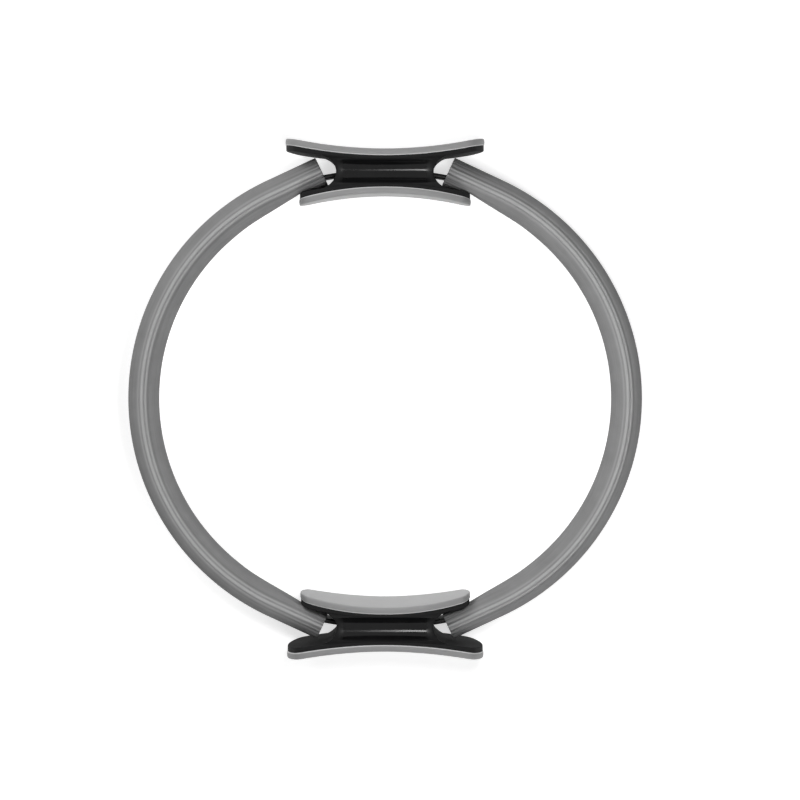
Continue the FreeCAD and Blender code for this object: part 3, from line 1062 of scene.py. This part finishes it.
    def bore_rows_inside(self) -> np.ndarray:
        """Carry the slot along the band between the sleeve's two cuts.

        A point that lies so far out from the hoop leaves a cut where its circle crosses the cut's plane:
        at the angle whose cosine, counted from the end's slope, is the straight length over its radius.

        Returns:
            Places in the frame, from the north cut to the south cut.
        """
        bore = self.bore_section()
        leave = np.arccos(-self.straight / (self.radius + bore[:, 0])) - self.end_slope
        walk = np.linspace(1.0, -1.0, self.bore_rows)[:, None] * leave[None] * self.radius
        return self.on_path(walk, np.pi / 2, bore[None, :, 0], bore[None, :, 1])

    def build_sleeve(self, foam: bpy.types.Material) -> None:
        """Carry the oval along the half hoop, turn it in at both cuts and back through the bore.

        Rows crowd towards the cuts as a sine, and the skin's rim at each cut is a quarter circle.

        Args:
            foam: The sleeve's finish.
        """
        skin = self.skin_section()
        share = np.linspace(-1.0, 1.0, self.rows)
        walk = self.half_length * (share + self.end_crowding * np.sin(np.pi * share) / np.pi)
        to_cut = self.half_length - np.abs(walk)
        gaps = np.linalg.norm(np.diff(skin, axis=0, append=skin[:1]), axis=1)
        round_it = np.concatenate([[0.0], np.cumsum(gaps)])
        inwards = -skin / np.linalg.norm(skin, axis=1, keepdims=True)
        from_rim = 1.0 - np.clip(to_cut / self.cut_edge, 0.0, 1.0)
        rounding = self.cut_edge * (1.0 - np.sqrt(1.0 - from_rim**2))
        creases = self.pleats(to_cut, round_it)
        section = skin[None] + inwards[None] * (creases + rounding[:, None])[..., None]
        carried = self.on_path(walk[:, None], self.bend_angle, section[..., 0], section[..., 1])
        outside = self.press_in(carried)
        inside = self.bore_rows_inside()
        ways = np.linspace(0.0, 1.0, self.cut_rings + 2)[1:-1, None, None]
        north_cut = outside[-1] + (inside[0] - outside[-1]) * ways
        south_cut = inside[-1] + (outside[0] - inside[-1]) * ways
        points = np.vstack([outside, north_cut, inside, south_cut])
        hidden = len(points) - self.rows
        way_back = np.linspace(2 * self.half_length, 0.0, hidden + 1)
        along = np.concatenate([walk + self.half_length, way_back])
        plain = np.zeros((hidden, self.columns))
        # Painted shade: darkest in the pleats' creases and in the valley beside the ridge.
        shade = np.maximum(creases / self.pleat_depth, self.valley_shade * self.valley(skin)[None])
        attributes = {
            "cut": np.vstack([np.zeros((self.rows, self.columns)), plain + 1.0]),
            # Painted highlight on the crests.
            "crest": np.vstack([np.broadcast_to(self.crests(skin), (self.rows, self.columns)), plain]),
            "crease": np.vstack([np.clip(shade, 0.0, 1.0), plain]),
        }
        uv = np.stack(np.meshgrid(along, round_it, indexing="ij"), axis=-1)
        points = half_turned(points, self.hand.value)
        piece = Surface(f"{self.name}_sleeve_foam", points, uv, True, attributes).build()
        self.place(piece, foam, f"{self.name}_sleeve", "sleeve_foam")

    def build_band(self, laminate: bpy.types.Material) -> None:
        """Carry a rounded rectangle along the straight tails and the half circle between them.

        Args:
            laminate: The band's finish.
        """
        half_out, half_up = self.band_thickness / 2, self.band_width / 2
        section = self.rounded_slot(half_out, half_up, self.band_edge, self.band_columns)
        quarter, tail = np.pi / 2 * self.radius, self.offset - self.butt_x
        south_tail = np.linspace(-quarter - tail, -quarter, self.tail_rows)[:-1]
        arc = np.linspace(-quarter, quarter, self.band_rows)
        walk = np.concatenate([south_tail, arc, -south_tail[::-1]])
        rows = self.on_path(walk[:, None], np.pi / 2, section[None, :, 0], section[None, :, 1])
        ends = [np.broadcast_to(row.mean(axis=0), row.shape)[None] for row in (rows[0], rows[-1])]
        points = np.concatenate([ends[0], rows, ends[1]])
        walked = np.linspace(0.0, np.pi * self.radius, len(points))
        round_it = np.linspace(0.0, 2 * (self.band_width + self.band_thickness), self.band_columns + 1)
        uv = np.stack(np.meshgrid(walked, round_it, indexing="ij"), axis=-1)
        piece = Surface(f"{self.name}_band_strip", half_turned(points, self.hand.value), uv).build()
        self.place(piece, laminate, f"{self.name}_band", "band_laminate")

    def place(self, piece: bpy.types.Object, finish: bpy.types.Material, node: str, slot: str) -> None:
        """Dress a piece and let it bend between the two grips.

        Args:
            piece: The new piece.
            finish: Its material.
            node: The frame's solid that it stands for.
            slot: The record's material slot; not used.
        """
        piece.data.materials.append(finish)
        reach = self.blend_share * self.radius
        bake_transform(piece, "south_grip", "north_grip", start=(0.0, -reach, self.mid_height),
                 end=(0.0, reach, self.mid_height))
        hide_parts(node)
        log.info("hoop piece %s: %d points", piece.name, len(piece.data.vertices))


@dataclass(frozen=True)
class Lamp:
    """A round soft lamp: where it hangs, where it points, how wide it is and its power in watts."""

    name: str
    place: Place
    target: Place
    width: float
    power: float

    def build(self) -> None:
        """Hang the lamp, out of the camera's sight."""
        light = bpy.data.lights.new(self.name, "AREA")
        light.shape = "DISK"
        light.size = self.width
        light.energy = self.power
        lamp = add_object(self.name, light)
        way = Vector(self.target) - Vector(self.place)
        lamp.rotation_euler = way.to_track_quat("-Z", "Y").to_euler()
        lamp.location = self.place
        lamp.visible_camera = False


@dataclass
class Studio:
    """Plain pale floor, soft light and the camera at the photograph's angle."""

    camera_place: Place = (0.011, 0.0867, 1.63)
    camera_target: Place = (0.011, -0.0004, 0.03)
    field_width: float = 0.592
    sensor_width: float = 36.0
    sight_limit: float = 100.0
    floor_half: float = 0.95
    floor_level: float = -0.2 * MM
    floor_colour: Colour = (0.78, 0.78, 0.78)
    floor_glow: float = 0.62
    world_light: float = 0.18
    world_colour: Colour = (1.0, 1.0, 1.0)
    lamps: tuple[Lamp, ...] = (
        Lamp("key_light", (0.075, 0.05, 0.62), (0.06, 0.0, 0.03), 0.16, 1.6),
        Lamp("side_light", (-0.95, 1.02, 0.76), (0.0, 0.0, 0.03), 1.0, 11.6),
        Lamp("counter_light", (0.58, -0.98, 0.74), (0.05, 0.0, 0.03), 0.8, 5.2),
    )

    def build_floor(self) -> None:
        """Lay a pale floor that keeps the shadow and glows a little where it is seen."""
        half, level = self.floor_half, self.floor_level
        mesh = bpy.data.meshes.new("floor")
        corners = [(-half, -half, level), (half, -half, level), (half, half, level), (-half, half, level)]
        mesh.from_pydata(corners, [], [(0, 1, 2, 3)])
        floor = add_object("floor", mesh)
        board = NodeBoard(bpy.data.materials.new("pale_floor"))
        matte = board.node("ShaderNodeBsdfDiffuse", Color=(*self.floor_colour, 1.0))
        strength = board.combine("MULTIPLY", board.seen_rays(), self.floor_glow)
        glow = board.node("ShaderNodeEmission", Strength=strength)
        both = board.node("ShaderNodeAddShader")
        for socket, shader in zip(both.inputs, (matte, glow)):
            board.fill(socket, shader.outputs[0])
        board.surface(both.outputs[0])
        mesh.materials.append(board.owner)

    def build_light(self) -> None:
        """Hang the soft lamps over the ring and fill with white surroundings."""
        for lamp in self.lamps:
            lamp.build()
        world = bpy.data.worlds.new("white_surroundings")
        bpy.context.scene.world = world
        board = NodeBoard(world)
        level = board.remap(board.seen_rays(), self.world_light, 1.0)
        around = board.node("ShaderNodeBackground", Color=(*self.world_colour, 1.0), Strength=level)
        board.surface(around.outputs["Background"])

    def build_camera(self) -> None:
        """Stand the camera above the ring, with the picture's top towards the north grip."""
        place, target = Vector(self.camera_place), Vector(self.camera_target)
        back = (place - target).normalized()
        right = Vector((0.0, 1.0, 0.0)).cross(back).normalized()
        up = back.cross(right)
        data = bpy.data.cameras.new("camera")
        data.sensor_width = self.sensor_width
        data.lens = data.sensor_width * (place - target).length / self.field_width
        data.clip_end = self.sight_limit
        camera = add_object("camera", data)
        camera.matrix_world = Matrix.Translation(place) @ Matrix((right, up, back)).transposed().to_4x4()
        bpy.context.scene.camera = camera

    def build(self) -> None:
        """Set the view, floor, light and camera."""
        bpy.context.scene.view_settings.view_transform = "Standard"
        self.build_floor()
        self.build_light()
        self.build_camera()
        log.info("studio ready")


def main() -> None:
    """Build the half hoops and the grips in order, then the studio."""
    logging.basicConfig(level=logging.INFO, format="%(name)s: %(message)s")
    sleeve_foam = SleeveFoam().material()
    laminate = BandLaminate().material()
    pad_foam = PadFoam().material()
    plastic = GripPlastic().material()
    steel = ScrewSteel().material()
    for hand in Hand:
        half = HoopHalf(hand)
        half.build_band(laminate)
        half.build_sleeve(sleeve_foam)
    for side in Side:
        grip = Grip(side)
        grip.build_pads(pad_foam)
        grip.dress_shells(plastic, steel)
    Studio().build()


if __name__ == "__main__":
    main()
